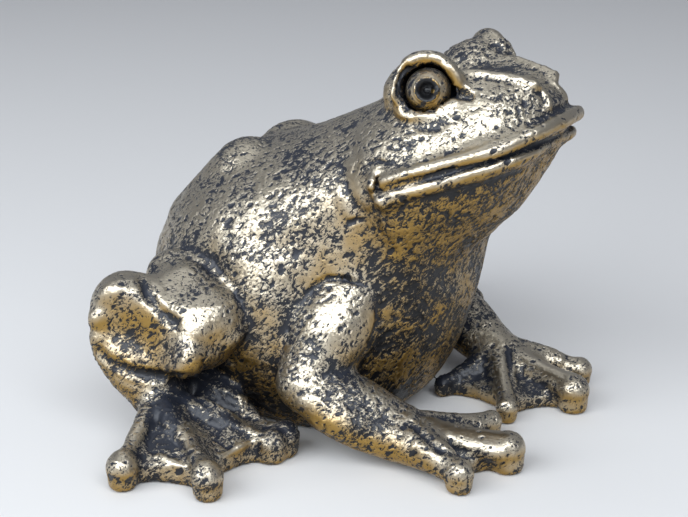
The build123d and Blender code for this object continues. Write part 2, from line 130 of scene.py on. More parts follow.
# Strokes of the modelling tool, drawn on the photograph and mirrored: each has a height,
# which is below zero for a groove, a half width, and the pixels that it runs through.
# Swells fill the castings out, and strokes then mark the skin that is laid over them
SWELLS = {
    "throat": (0.0021, 0.0240, ((546, 164), (520, 184), (505, 196), (486, 222), (478, 240))),
    "flank": (0.0045, 0.0180, ((265, 250), (260, 290), (258, 330), (255, 360), (268, 390))),
    "knee": (0.0034, 0.0090, ((176, 330), (186, 342), (194, 356), (203, 368))),
    "shank": (0.0040, 0.0080, ((105, 345), (125, 356), (150, 362), (178, 364), (200, 360))),
    "shank top": (0.0018, 0.0060, ((98, 300), (112, 290), (130, 288), (146, 296))),
    "shank face": (-0.0014, 0.0090, ((100, 322), (120, 325), (145, 332), (170, 340))),
    "foot root": (0.0030, 0.0080, ((180, 384), (205, 388), (228, 398), (250, 408))),
    "foot heel": (0.0030, 0.0065, ((194, 377), (208, 374), (222, 378))),
    "shank side": (0.0020, 0.0070, ((97, 310), (97, 327), (105, 344))),
    "rear flank": (0.0040, 0.0120, ((226, 335), (229, 360), (236, 385))),
    "thigh": (0.0022, 0.0070, ((152, 275), (163, 290), (176, 308), (188, 322))),
    "forearm": (0.0042, 0.0085, ((300, 396), (325, 418), (360, 435), (400, 448), (440, 466))),
    "first web": (0.0016, 0.0050, ((166, 392), (166, 420), (164, 456))),
    "second web": (0.0018, 0.0060, ((200, 394), (224, 424), (244, 450))),
    "first toe": (0.0013, 0.0050, ((160, 392), (140, 428), (122, 456))),
    "second toe": (0.0016, 0.0055, ((183, 390), (193, 428), (205, 470))),
    "first toe knob": (0.0008, 0.0070, ((116, 456), (124, 468), (130, 482))),
    "second toe knob": (0.0007, 0.0070, ((200, 464), (205, 476), (210, 492))),
    "hand": (0.0012, 0.0060, ((400, 415), (420, 430), (440, 446), (456, 456))),
    "paddle": (0.0018, 0.0045, ((436, 438), (462, 447), (488, 453), (508, 456))),
}
STROKES = {
    "lower lid": (0.0012, 0.0024, ((396, 112), (410, 117), (424, 116), (440, 109), (456, 98))),
    "lid corner": (0.0004, 0.0026, ((392, 104), (398, 113), (410, 119), (424, 118))),
    "outer brow": (
        -0.0012,
        0.0050,
        ((392, 108), (389, 90), (393, 72), (405, 56), (420, 49), (436, 49)),
    ),
    "inner brow": (-0.0024, 0.0028, ((411, 66), (403, 77), (400, 90), (402, 102), (409, 110))),
    "lid edge": (0.0006, 0.0020, ((399, 68), (394, 80), (392, 92), (393, 104), (398, 112))),
    "lid bag": (-0.0004, 0.0024, ((414, 126), (434, 129), (450, 119))),
    "brow": (0.0007, 0.0026, ((393, 106), (393, 88), (401, 67), (418, 56), (436, 57), (452, 70))),
    "brow end": (0.001, 0.0026, ((444, 62), (456, 75), (467, 90))),
    "eye corner": (-0.0018, 0.0022, ((446, 88), (455, 93), (464, 95), (474, 97))),
    "snout edge": (0.0011, 0.0018, ((464, 71), (485, 74), (510, 77), (536, 82))),
    "nostril edge": (0.0010, 0.0017, ((534, 81), (541, 89), (547, 99), (551, 111))),
    "snout dish": (-0.0005, 0.0060, ((480, 67), (508, 68), (532, 73))),
    "upper lip tip": (0.0008, 0.0046, ((530, 141), (545, 133), (560, 125), (572, 118), (578, 114))),
    "lip roll": (-0.0006, 0.0022, ((528, 128), (546, 117), (560, 109), (570, 104))),
    "upper lip": (0.0009, 0.0032, ((379, 181), (400, 175), (440, 165), (500, 153), (530, 143))),
    "mouth slit": (-0.0008, 0.0012, ((381, 188), (420, 178), (470, 165), (520, 152), (568, 133))),
    "lower lip": (0.0008, 0.0026, ((384, 195), (420, 188), (470, 173), (520, 159), (556, 146))),
    "under lip": (-0.0003, 0.0028, ((396, 205), (430, 198), (480, 185), (530, 167))),
    "mouth corner": (0.0006, 0.0030, ((380, 168), (371, 177), (370, 190), (380, 203))),
    "neck fold": (0.0006, 0.0038, ((350, 156), (353, 176), (359, 194), (371, 210))),
    "second neck fold": (0.0005, 0.0036, ((337, 184), (344, 203), (351, 222))),
    "neck crack": (-0.0005, 0.0009, ((364, 163), (378, 161), (391, 164))),
    "flank crack": (-0.0005, 0.0009, ((347, 224), (355, 220), (362, 220))),
    "thigh fold": (0.0004, 0.0018, ((170, 249), (190, 254), (213, 268), (229, 288), (236, 308))),
    "thigh crease": (-0.0012, 0.0028, ((141, 270), (147, 292), (156, 307), (168, 319), (180, 325))),
    "shoulder groove": (
        -0.0007,
        0.0015,
        ((303, 300), (315, 286), (327, 279), (345, 279), (366, 286)),
    ),
    "arm groove": (-0.0007, 0.0024, ((380, 296), (379, 320), (369, 348), (354, 368))),
    "shank under": (-0.0013, 0.0028, ((96, 348), (108, 362), (130, 372), (158, 377), (196, 377))),
    "third toe": (0.0006, 0.0020, ((192, 377), (245, 399), (285, 420))),
    "third toe rib": (0.0008, 0.0018, ((190, 392), (230, 414), (262, 437))),
    "first rim": (0.0006, 0.0016, ((145, 456), (165, 458), (186, 468))),
    "second rim": (0.0006, 0.0016, ((222, 456), (240, 446), (262, 438))),
    "finger gap": (-0.0009, 0.0022, ((408, 420), (420, 432), (438, 448), (462, 456))),
    "inner finger gap": (-0.0008, 0.0020, ((415, 412), (445, 417), (480, 424))),
    "broad finger": (0.0003, 0.0050, ((425, 425), (470, 432), (510, 440))),
}
# Painted shade and highlights: by how much the covered share rises where shade is painted,
# or falls below zero where a highlight is painted, drawn in the same way
PAINTED_SHADE_AND_HIGHLIGHTS = {
    "first web": (0.42, 0.0065, ((166, 392), (166, 420), (164, 452))),
    "second web": (0.38, 0.0075, ((200, 394), (224, 424), (244, 446))),
    "foot root": (0.30, 0.0110, ((172, 378), (205, 386), (240, 400))),
    "forearm": (0.10, 0.0140, ((320, 385), (360, 405), (400, 425))),
    "chest": (0.12, 0.0240, ((440, 245), (430, 300), (420, 360))),
    "shank": (0.03, 0.0120, ((110, 320), (150, 335), (185, 345))),
    "inner brow": (0.50, 0.0020, ((411, 66), (403, 77), (400, 90), (402, 102), (409, 110))),
    "eye corner": (0.60, 0.0026, ((448, 90), (460, 95), (472, 97))),
    "inner finger": (0.32, 0.0090, ((438, 388), (462, 374), (492, 362))),
    "hand": (-0.18, 0.0080, ((430, 425), (470, 432), (510, 440))),
    "cheek": (-0.12, 0.0150, ((415, 148), (470, 130), (518, 112))),
    "upper arm": (-0.14, 0.0120, ((335, 305), (318, 345))),
}
# Painted shade tones: where the gold and the dark coat turn towards their painted floor
# reflection and shade, as if the skin there faced down by this much more
PAINTED_SHADE_TONES = {
    "shank": (-0.38, 0.0150, ((102, 315), (125, 330), (150, 340), (180, 348))),
    "shank foot": (-0.25, 0.0120, ((110, 350), (130, 370), (150, 385))),
    "knee": (-0.35, 0.0110, ((180, 350), (196, 360), (214, 360))),
    "forearm": (-0.45, 0.0120, ((310, 400), (350, 425), (400, 446), (440, 466))),
}
STROKE_STEP_PIXELS = 4
STROKE_TAPER_SHARE = 0.30
STROKE_SMOOTH_ROUNDS = 2

# Parts drawn aside: the middle of each, how far round it the pull reaches, and its way
PULLS = {
    "muzzle": (Vector((0, -0.0700, 0.0920)), 0.0300, Vector((0, 0.0038, 0))),
}
# Faces planed flat on the left hind leg: a point, the way that the face looks, and the share
# that stays of what stands proud of it
PLANED_FACES = (
    (Vector((0.0662, 0.0350, 0.0380)), Vector((0.985, -0.120, -0.030)), 0.15),
    (Vector((0.0606, 0.0165, 0.0448)), Vector((0.700, -0.520, 0.480)), 0.25),
)
PLANED_REACH = 0.0180
PLANED_FADE = 0.0120
PLANED_ROUNDS = 30

# Soles: the edges next to the floor are rounded up to this height
SOLE_HEIGHT = 0.0048
SOLE_ROUNDS = 26

# Relief of the cast skin: height of each pattern, below zero where it is a dent
RELIEF_HEIGHTS = {"waves": 0.0007, "dents": -0.00028}

# Marks of the dark coat: patches a millimetre, and how far under the cover's edge the noise
# lies where a mark begins and where it is full
MARKS = {
    "flecks": (0.68, -0.012, 0.050),
    "specks": (1.45, -0.004, 0.066),
    "veil": (1.60, -0.020, 0.200),
}
MARK_DETAIL = 3.0
MARK_ROUGHNESS_SHARE = 0.58
MARK_DISTORTION_SHARE = 0.60

# Casting pits: pits a millimetre, the least and the most reach of one as a share of their
# spacing, how wide its edge is and how ragged
PIT_SCALE = 0.34
PIT_REACH_SHARES = (-0.04, 0.40)
PIT_EDGE_SHARE = 0.09
PIT_RAGGED_SHARE = 0.40

# Slant of the brush, and the scale of patterns on each of its axes
BRUSH_TURN = math.radians(40)
BRUSH_STRETCH = (1.0, 0.52, 1.0)

# Broader patterns: patches a millimetre, and the detail in them
PATCH_SCALE = 0.10
PATCH_DETAIL = 2.0
TONE_DETAIL = 3.0
WAVE_SCALE = 0.13
WAVE_DETAIL = 3.0
GRAIN_SCALE = 1.1
GRAIN_DETAIL = 3.0
PIT_DETAIL = 2.0
NOISE_MIDDLE = 0.5
NOISE_ROUGHNESS_SHARE = 0.5

# Where the dark coat stays, and where shade is painted into it: how strongly each cause adds
# to the covered share. The shade share and the under share are painted shade, where near
# parts close off the space over the skin and where the skin faces down
CREASE_DEPTH = 0.0008
CREASE_SHARE = 0.50
EDGE_SHARE = 0.12
SHADE_SHARE = 0.58
PAINTED_UNDER_SHADE_SHARE = 0.14
COVER_LIMIT_SHARE = 0.72
GRIME_SHARE = 0.20
WEAR_SHARE = 0.18
PATCH_SHARE = 0.80
# Noise level under which the coat shows at no cover, and what full cover adds
COVER_EDGES = (0.29, 0.42)

# Measuring of hollows and shadows
BROAD_ROUNDS = 30
SHADE_RAYS = 22
SHADE_REACH = 0.014
SHADE_LIFT = 0.0006
SHADE_FREE_SHARE = 0.12
SHADE_BLUR_ROUNDS = 2

# Paint: gold and dark coat, each with a painted sky reflection on faces that look up and a
# painted floor reflection and shade on faces that look down, and the facings between which
# each pair turns
GOLD_PAINTED_SKY_REFLECTION = (0.56, 0.495, 0.385, 1)
GOLD_PAINTED_FLOOR_REFLECTION = (0.36, 0.225, 0.065, 1)
GOLD_FACINGS = (-0.45, 0.45)
DARK_PAINTED_SKY_REFLECTION = (0.016, 0.019, 0.028, 1)
DARK_PAINTED_SHADE = (0.004, 0.004, 0.005, 1)
DARK_FACINGS = (-0.4, 0.6)
GOLD_ROUGHNESS = 0.31
DARK_ROUGHNESS = 0.36
TONE_SHARE = 1.0
SPECULAR_SHARE = 0.35
GLAZE_SHARE = 0.12
GLAZE_ROUGHNESS = 0.20
BUMP_SHARE = 0.7
BUMP_HEIGHT = 0.0003
MARK_BUMP_SHARE = -0.6
GRAIN_BUMP_SHARE = 0.8

# Felt and steel: patches a millimetre, dark and pale colour, metallic share and roughness
STUFFS = {
    "felt": (3.0, (0.010, 0.016, 0.012, 1), (0.030, 0.045, 0.034, 1), 0, 0.95),
    "pin_steel": (4.0, (0.42, 0.42, 0.43, 1), (0.60, 0.60, 0.61, 1), 1, 0.35),
}
STUFF_BUMP_SHARE = 0.4
STUFF_BUMP_HEIGHT = 0.0002
STUFF_NODES = {"base_felt": "felt", "joint_pins": "pin_steel"}

# Studio: lamps have a direction, a distance, a size and a power
FLOOR_HALF = 3.0
FLOOR_COLOUR = (0.74, 0.73, 0.72, 1)
FLOOR_ROUGHNESS = 0.8
WORLD_COLOUR = (0.78, 0.82, 0.92, 1)
WORLD_STRENGTH = 0.30
LAMP_COLOUR = (0.90, 0.95, 1.0)
LAMP_AIM = Vector((0, 0, 0.06))
LAMPS = {
    "left window": (Vector((-0.84, 0.22, 0.50)), 1.2, (1.2, 0.8), 14.5),
    "right window": (Vector((-0.53, -0.53, 0.67)), 1.2, (0.9, 0.7), 10),
    "ceiling": (Vector((0.2, 0.3, 1.0)), 1.5, (1.2, 1.2), 3),
}


class Surface:
    """Closed mesh held as arrays, with what sculpting needs: neighbours, normals, smoothing."""

    def __init__(self, places, polygons):
        self.places = places
        self.polygons = polygons
        ring = np.roll(polygons, -1, axis=1)
        pairs = np.stack([polygons.ravel(), ring.ravel()], axis=1)
        self.edges = np.unique(np.sort(pairs, axis=1), axis=0)
        self.degrees = np.bincount(self.edges.ravel(), minlength=len(places)).clip(1)

    def neighbour_mean(self, values):
        """Mean of each vertex's neighbours, for one value or for a row of values a vertex."""
        columns = values.reshape(len(values), -1)
        start, end = self.edges.T
        count = len(values)
        sums = [
            np.bincount(start, column[end], count) + np.bincount(end, column[start], count)
            for column in columns.T
        ]
        return (np.stack(sums, axis=1) / self.degrees[:, None]).reshape(values.shape)

    def blurred(self, values, rounds):
        """Values averaged with their neighbours' over a number of rounds."""
        for _ in range(rounds):
            values = (values + self.neighbour_mean(values)) / 2
        return values

    def smooth(self, rounds):
        """Evens the surface out and keeps its volume."""
        for _ in range(rounds):
            for step in (SMOOTH_IN_SHARE, SMOOTH_OUT_SHARE):
                pull = self.neighbour_mean(self.places) - self.places
                self.places = self.places + pull * step

    def normals(self):
        """Unit normal of each vertex, from the faces round it."""
        corners = self.places[self.polygons]
        across = np.cross(corners[:, 2] - corners[:, 0], corners[:, 3] - corners[:, 1])
        sums = np.zeros_like(self.places)
        for column in self.polygons.T:
            for axis in range(3):
                sums[:, axis] += np.bincount(column, across[:, axis], len(self.places))
        return sums / np.linalg.norm(sums, axis=1, keepdims=True).clip(TINY)

    def hollows(self, rounds):
        """Depth of each vertex below its surroundings, above zero in a hollow."""
        lift = self.blurred(self.places, rounds) - self.places
        return (lift * self.normals()).sum(axis=1)

    def fill(self, mask):
        """Rounds the creases out where the mask is above zero."""
        for _ in range(FILL_ROUNDS):
            depth = self.hollows(FILL_BLUR_ROUNDS).clip(0) * mask
            self.places = self.places + self.normals() * depth[:, None]

    def round_off(self, mask, rounds):
        """Softens the edges where the mask is above zero."""
        for _ in range(rounds):
            pull = self.neighbour_mean(self.places) - self.places
            self.places = self.places + pull * (mask * SMOOTH_IN_SHARE)[:, None]

    def tree(self):
        """Search tree of the faces, for rays and nearest points."""
        return BVHTree.FromPolygons(self.places.tolist(), self.polygons.tolist())


def capped(lengths, full):
    """Lengths as a share of a full one, from 0 to 1."""
    return (lengths / full).clip(0, 1)


def falloff(gaps, reach):
    """Strength that is 1 at no gap and falls off smoothly to 0 at the reach."""
    return (1 - capped(gaps, reach) ** 2) ** 2


def mirrored(place):
    """A place, a heading or a path, and its mirror image on the other side."""
    return [place * (side, 1, 1) for side in SIDES]


def linked(name, data):
    """New object of a mesh, a lamp or a camera, in the scene."""
    made = bpy.data.objects.new(name, data)
    bpy.context.scene.collection.objects.link(made)
    return made


def new_mesh(name, places, polygons):
    """New mesh of places and polygons."""
    mesh = bpy.data.meshes.new(name)
    mesh.from_pydata(places, [], polygons)
    return mesh


def mesh_arrays(mesh):
    """Places and polygons of a mesh made of four-sided faces."""
    places = np.empty(len(mesh.vertices) * 3)
    mesh.vertices.foreach_get("co", places)
    polygons = np.empty(len(mesh.loops), dtype=np.int64)
    mesh.loops.foreach_get("vertex_index", polygons)
    return places.reshape(-1, 3), polygons.reshape(-1, 4)


def largest_part(places, polygons):
    """The largest connected part of a mesh, which leaves out the hollows inside it."""
    label = np.arange(len(places))
    while True:
        lowest = label[polygons].min(axis=1)
        lower = label.copy()
        for column in polygons.T:
            np.minimum.at(lower, column, lowest)
        lower = lower[lower]
        if (lower == label).all():
            break
        label = lower
    names, counts = np.unique(label, return_counts=True)
    kept = label == names[counts.argmax()]
    index = np.cumsum(kept) - 1
    return Surface(places[kept], index[polygons[kept[polygons[:, 0]]]])


def shapes(names):
    """Places and polygons of CAD nodes, all in one list."""
    places, polygons = [], []
    for name in names:
        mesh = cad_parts[name].data
        first = len(places)
        places += [vertex.co[:] for vertex in mesh.vertices]
        polygons += [[first + index for index in face.vertices] for face in mesh.polygons]
    return places, polygons


def remeshed(places, polygons, voxel):
    """Even four-sided mesh over closed shapes, which become one closed skin."""
    source = new_mesh("remesh_source", places, polygons)
    carrier = linked("remesh_carrier", source)
    modifier = carrier.modifiers.new("voxels", "REMESH")
    modifier.mode = "VOXEL"
    modifier.voxel_size = voxel
    graph = bpy.context.evaluated_depsgraph_get()
    made = bpy.data.meshes.new_from_object(carrier.evaluated_get(graph))
    arrays = mesh_arrays(made)
    bpy.data.objects.remove(carrier)
    bpy.data.meshes.remove(source)
    bpy.data.meshes.remove(made)
    return largest_part(*arrays)


def casting_gaps(surface):
    """Distance of each vertex from each casting, no more than the seam reach."""
    gaps = np.full((len(surface.places), len(CASTINGS)), SEAM_REACH)
    for column, name in enumerate(CASTINGS):
        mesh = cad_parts[name].data
        corners = [vertex.co[:] for vertex in mesh.vertices]
        tree = BVHTree.FromPolygons(corners, [face.vertices[:] for face in mesh.polygons])
        low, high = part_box(name)
        near = (surface.places > np.array(low) - SEAM_REACH).all(axis=1)
        near &= (surface.places < np.array(high) + SEAM_REACH).all(axis=1)
        for index in np.nonzero(near)[0]:
            gap = tree.find_nearest(Vector(surface.places[index]), SEAM_REACH)[3]
            if gap is not None:
                gaps[index, column] = gap
    return surface.blurred(gaps, SEAM_SMOOTH_ROUNDS)


def pixel_heading(across, down):
    """Heading of the camera's ray through a pixel of the photograph."""
    right = CAMERA_LOOK.cross(Vector((0, 0, 1))).normalized()
    up = right.cross(CAMERA_LOOK)
    right_share = (across - PHOTO_WIDTH / 2) / FOCAL_PIXELS
    up_share = (PHOTO_HEIGHT / 2 - down) / FOCAL_PIXELS
    return (CAMERA_LOOK + right * right_share + up * up_share).normalized()


def drawn_path(tree, pixels):
    """Points on the skin under a line that is drawn on the photograph."""
    dots = []
    for start, end in zip(pixels, pixels[1:]):
        steps = math.ceil(math.dist(start, end) / STROKE_STEP_PIXELS)
        shares = np.linspace(0, 1, steps, endpoint=False)
        dots += [np.array(start) * (1 - share) + np.array(end) * share for share in shares]
    dots.append(pixels[-1])
    hits = [tree.ray_cast(CAMERA_PLACE, pixel_heading(*dot))[0] for dot in dots]
    return np.array([hit[:] for hit in hits if hit is not None])


def path_gaps(places, path):
    """Distance of each place from a path, and the share of the path's length there."""
    gaps = np.full(len(places), np.inf)
    shares = np.zeros(len(places))
    for index, (start, end) in enumerate(zip(path, path[1:])):
        run = end - start
        along = ((places - start) @ run / max(run @ run, TINY)).clip(0, 1)
        gap = np.linalg.norm(places - start - along[:, None] * run, axis=1)
        nearer = gap < gaps
        gaps[nearer] = gap[nearer]
        shares[nearer] = (index + along[nearer]) / (len(path) - 1)
    return gaps, shares


def stroke_share(places, path, half_width):
    """Strength of a stroke at each place: 1 on the path, falling off to its sides and ends."""
    strength = np.zeros(len(places))
    near = (places > path.min(axis=0) - half_width).all(axis=1)
    near &= (places < path.max(axis=0) + half_width).all(axis=1)
    gaps, shares = path_gaps(places[near], path)
    ends = capped(np.minimum(shares, 1 - shares), STROKE_TAPER_SHARE)
    strength[near] = falloff(gaps, half_width) * np.sqrt(ends)
    return strength


def sculpt(surface, strokes):
    """Applies strokes; gives how much each vertex was ridged and grooved by them."""
    tree = surface.tree()
    lift, wear, grime = np.zeros((3, len(surface.places)))
    for height, half_width, pixels in strokes.values():
        for path in mirrored(drawn_path(tree, pixels)):
            strength = stroke_share(surface.places, path, half_width)
            lift += height * strength
            if height > 0:
                wear = np.maximum(wear, strength)
            else:
                grime = np.maximum(grime, strength)
    surface.places = surface.places + surface.normals() * lift[:, None]
    surface.smooth(STROKE_SMOOTH_ROUNDS)
    return wear, grime


def draw_aside(surface):
    """Draws parts aside, most at their middle."""
    for middle, reach, way in PULLS.values():
        gap = np.linalg.norm(surface.places - np.array(middle), axis=1)
        surface.places = surface.places + falloff(gap, reach)[:, None] * np.array(way)


def plane_faces(surface):
    """Flattens the faces of both hind legs."""
    for point, look, share in PLANED_FACES:
        headings = mirrored(np.array(look.normalized()))
        for middle, heading in zip(mirrored(np.array(point)), headings):
            offsets = surface.places - middle
            proud = (offsets @ heading).clip(0)
            near = capped(PLANED_REACH - np.linalg.norm(offsets, axis=1), PLANED_FADE)
            surface.places = surface.places - (proud * near * (1 - share))[:, None] * heading
            surface.round_off(near, PLANED_ROUNDS)


def painted_light_added(surface, strokes):
    """What strokes of painted shade, highlights and reflections add at each vertex."""
    tree = surface.tree()
    added = np.zeros(len(surface.places))
    for share, half_width, pixels in strokes.values():
        for path in mirrored(drawn_path(tree, pixels)):
            added += share * stroke_share(surface.places, path, half_width)
    return added


def sphere_points(count):
    """Even directions over a sphere, on a spiral."""
    heights = 1 - (2 * np.arange(count) + 1) / count
    rings = np.sqrt(1 - heights**2)
    angles = GOLDEN_TURN * np.arange(count)
    return np.stack([rings * np.cos(angles), rings * np.sin(angles), heights], axis=1)


def shade(surface, others):
    """Share of the space over each vertex that the surface and others near it close off."""
    trees = [near.tree() for near in (surface, *others)]
    normals = surface.normals()
    starts = surface.places + normals * SHADE_LIFT
    closed = np.zeros(len(starts))
    weights = np.zeros(len(starts))
    for ray in sphere_points(SHADE_RAYS):
        facing = normals @ ray
        heading = Vector(ray)
        for index in np.nonzero(facing > SHADE_FREE_SHARE)[0]:
            weights[index] += facing[index]
            start = Vector(starts[index])
            hits = [tree.ray_cast(start, heading, SHADE_REACH)[3] for tree in trees]
            found = [hit for hit in hits if hit is not None]
            if found:
                closed[index] += facing[index] * (1 - min(found) / SHADE_REACH)
    return surface.blurred(closed / weights.clip(TINY), SHADE_BLUR_ROUNDS)


def node(tree, kind, inputs, **settings):
    """Adds a node; its inputs are constants or sockets of other nodes."""
    made = tree.nodes.new(kind)
    for name, value in settings.items():
        setattr(made, name, value)
    for key, value in inputs.items():
        if isinstance(value, bpy.types.NodeSocket):
            tree.links.new(value, made.inputs[key])
        else:
            made.inputs[key].default_value = value
    return made


def math_node(tree, operation, *values):
    """Result of one operation on constants or sockets."""
    return node(tree, "ShaderNodeMath", dict(enumerate(values)), operation=operation).outputs[0]


def ramp(tree, value, low, high, to_low=0, to_high=1):
    """Smooth step of a value from low to high."""
    ends = {"From Min": low, "From Max": high, "To Min": to_low, "To Max": to_high}
    made = node(
        tree, "ShaderNodeMapRange", {"Value": value, **ends}, interpolation_type="SMOOTHSTEP"
    )
    return made.outputs["Result"]


def noise(tree, place, scale, detail, roughness=NOISE_ROUGHNESS_SHARE, distortion=0):
    """Cloudy noise whose patches are about one over the scale wide."""
    inputs = {"Vector": place, "Scale": scale, "Detail": detail, "Roughness": roughness}
    return node(tree, "ShaderNodeTexNoise", {**inputs, "Distortion": distortion}).outputs[0]


def swing(tree, place, scale, detail):
    """Cloudy noise about zero."""
    return math_node(tree, "SUBTRACT", noise(tree, place, scale, detail), NOISE_MIDDLE)


def slanted(tree, place):
    """Place drawn out along the slant of the brush, so that patterns on it are long there."""
    inputs = {"Vector": place, "Angle": BRUSH_TURN}
    turned = node(tree, "ShaderNodeVectorRotate", inputs, rotation_type="X_AXIS")
    inputs = {0: turned.outputs[0], 1: BRUSH_STRETCH}
    return node(tree, "ShaderNodeVectorMath", inputs, operation="MULTIPLY").outputs[0]


def cover_edge(tree, place, coat_and_painted_light):
    """Noise level under which the dark coat shows, from the covered share."""
    patch = swing(tree, place, PATCH_SCALE, PATCH_DETAIL)
    patchy = math_node(tree, "MULTIPLY_ADD", patch, PATCH_SHARE, coat_and_painted_light)
    base, span = COVER_EDGES
    return math_node(tree, "MULTIPLY_ADD", patchy, span, base)


def marks(tree, name, place, coat_and_painted_light):
    """Strength of one kind of dark mark at a place: 0 on clean gold to 1 on the dark coat."""
    scale, begin, full = MARKS[name]
    grain = noise(
        tree,
        slanted(tree, place),
        scale,
        MARK_DETAIL,
        MARK_ROUGHNESS_SHARE,
        MARK_DISTORTION_SHARE,
    )
    depth = math_node(tree, "SUBTRACT", cover_edge(tree, place, coat_and_painted_light), grain)
    return ramp(tree, depth, begin, full)


def pits(tree, place):
    """Casting pits: 0 on the smooth skin to 1 in a pit."""
    inputs = {"Vector": slanted(tree, place), "Scale": PIT_SCALE}
    cells = node(tree, "ShaderNodeTexVoronoi", inputs)
    least, most = PIT_REACH_SHARES
    reach = math_node(tree, "MULTIPLY_ADD", cells.outputs["Color"], most - least, least)
    ragged = swing(tree, place, GRAIN_SCALE, PIT_DETAIL)
    reach = math_node(tree, "MULTIPLY_ADD", ragged, PIT_RAGGED_SHARE, reach)
    depth = math_node(tree, "SUBTRACT", reach, cells.outputs["Distance"])
    return ramp(tree, depth, 0, PIT_EDGE_SHARE)


def in_millimetres(tree, place):
    """Place in the unit of the patterns."""
    inputs = {0: place, "Scale": 1 / MILLIMETRE}
    return node(tree, "ShaderNodeVectorMath", inputs, operation="SCALE").outputs[0]


def relief_tree():
    """Geometry nodes that store the dents and waves of each vertex."""
    tree = bpy.data.node_groups.new("skin_relief", "GeometryNodeTree")
    for way in ("INPUT", "OUTPUT"):
        tree.interface.new_socket("Geometry", in_out=way, socket_type="NodeSocketGeometry")
    geometry = tree.nodes.new("NodeGroupInput").outputs[0]
    place = in_millimetres(tree, tree.nodes.new("GeometryNodeInputPosition").outputs[0])
    coat_and_painted_light = node(tree, "GeometryNodeInputNamedAttribute", {"Name": "coat_and_painted_light"}, data_type="FLOAT")
    flecks = marks(tree, "flecks", place, coat_and_painted_light.outputs[0])
    patterns = {
        "dents": math_node(tree, "MAXIMUM", flecks, pits(tree, place)),
        "waves": swing(tree, place, WAVE_SCALE, WAVE_DETAIL),
    }
    for name, value in patterns.items():
        inputs = {"Geometry": geometry, "Name": name, "Value": value}
        settings = {"data_type": "FLOAT", "domain": "POINT"}
        geometry = node(tree, "GeometryNodeStoreNamedAttribute", inputs, **settings).outputs[0]
    tree.links.new(geometry, tree.nodes.new("NodeGroupOutput").inputs[0])
    return tree


def set_attributes(mesh, attributes):
    """Stores one value or one vector a vertex under each name."""
    for name, values in attributes.items():
        kind, field = ("FLOAT", "value") if values.ndim == 1 else ("FLOAT_VECTOR", "vector")
        data = mesh.attributes.new(name, kind, "POINT").data
        data.foreach_set(field, values.astype(np.float32).ravel())


def relief(surface, coat_and_painted_light):
    """Height of the relief at each vertex, from the same patterns that the paint uses."""
    mesh = new_mesh("relief", surface.places.tolist(), surface.polygons.tolist())
    set_attributes(mesh, {"coat_and_painted_light": coat_and_painted_light})
    carrier = linked("relief_carrier", mesh)
    carrier.modifiers.new("relief", "NODES").node_group = relief_tree()
    graph = bpy.context.evaluated_depsgraph_get()
    found = carrier.evaluated_get(graph).data.attributes
    height = np.zeros(len(surface.places), dtype=np.float32)
    for name, depth in RELIEF_HEIGHTS.items():
        values = np.empty_like(height)
        found[name].data.foreach_get("value", values)
        height += values * depth
    bpy.data.objects.remove(carrier)
    bpy.data.meshes.remove(mesh)
    return height


def open_loops(polygons):
    """Closed chains of the edges that have a face on one side only."""
    edges = np.stack([polygons, np.roll(polygons, -1, axis=1)], axis=2).reshape(-1, 2)
    count = polygons.max() + 1
    keys = edges[:, 0] * count + edges[:, 1]
    following = {}
    for start, end in edges[~np.isin(edges[:, 1] * count + edges[:, 0], keys)].tolist():
        following.setdefault(start, []).append(end)
    loops = []
    while following:
        loop = [next(iter(following))]
        while len(loop) == 1 or loop[-1] != loop[0]:
            ends = following[loop[-1]]
            loop.append(ends.pop())
            if not ends:
                del following[loop[-2]]
        loops.append(loop)
    return loops


def divided(surface, gaps, attributes):
    """Divides the skin among the castings, each a closed piece of its own."""
    owner = gaps[surface.polygons].mean(axis=1).argmin(axis=1)
    normals = surface.normals()
    pieces = {}
    for column, name in enumerate(CASTINGS):
        used, flat = np.unique(surface.polygons[owner == column], return_inverse=True)
        polygons = flat.reshape(-1, 4)
        places = surface.places[used]
        loops = open_loops(polygons)
        faces = polygons.tolist()
        for middle, loop in enumerate(loops, len(places)):
            faces += [(end, start, middle) for start, end in zip(loop, loop[1:])]
        rows = np.append(used, [used[loop[0]] for loop in loops]).astype(int)
        middles = [places[loop[:-1]].mean(axis=0).tolist() for loop in loops]
        mesh = new_mesh(name + "_skin", places.tolist() + middles, faces)
        mesh.shade_smooth()
        set_attributes(mesh, {label: values[rows] for label, values in attributes.items()})
        mesh.normals_split_custom_set_from_vertices(normals[rows].tolist())
        pieces[name] = linked(name + "_skin", mesh)
    return pieces


def attribute(tree, name, output="Fac"):
    """Socket of a mesh attribute."""
    return node(tree, "ShaderNodeAttribute", {}, attribute_name=name).outputs[output]


def mixed(tree, share, first, second):
    """Mix of two colours."""
    inputs = {"Factor": share, 6: first, 7: second}
    return node(tree, "ShaderNodeMix", inputs, data_type="RGBA").outputs[2]


def bumped(tree, height, share, full_height):
    """Normal of a surface with fine bumps on it."""
    inputs = {"Strength": share, "Distance": full_height, "Height": height}
    return node(tree, "ShaderNodeBump", inputs).outputs[0]


def new_material(name):
    """Empty material; gives it with its node tree."""
    material = bpy.data.materials.new(name)
    material.use_nodes = True
    material.node_tree.nodes.clear()
    return material, material.node_tree


def finish_material(tree, inputs):
    """Ends a material in one shader with these inputs."""
    shader = node(tree, "ShaderNodeBsdfPrincipled", inputs)
    output = tree.nodes.new("ShaderNodeOutputMaterial")
    tree.links.new(shader.outputs[0], output.inputs["Surface"])


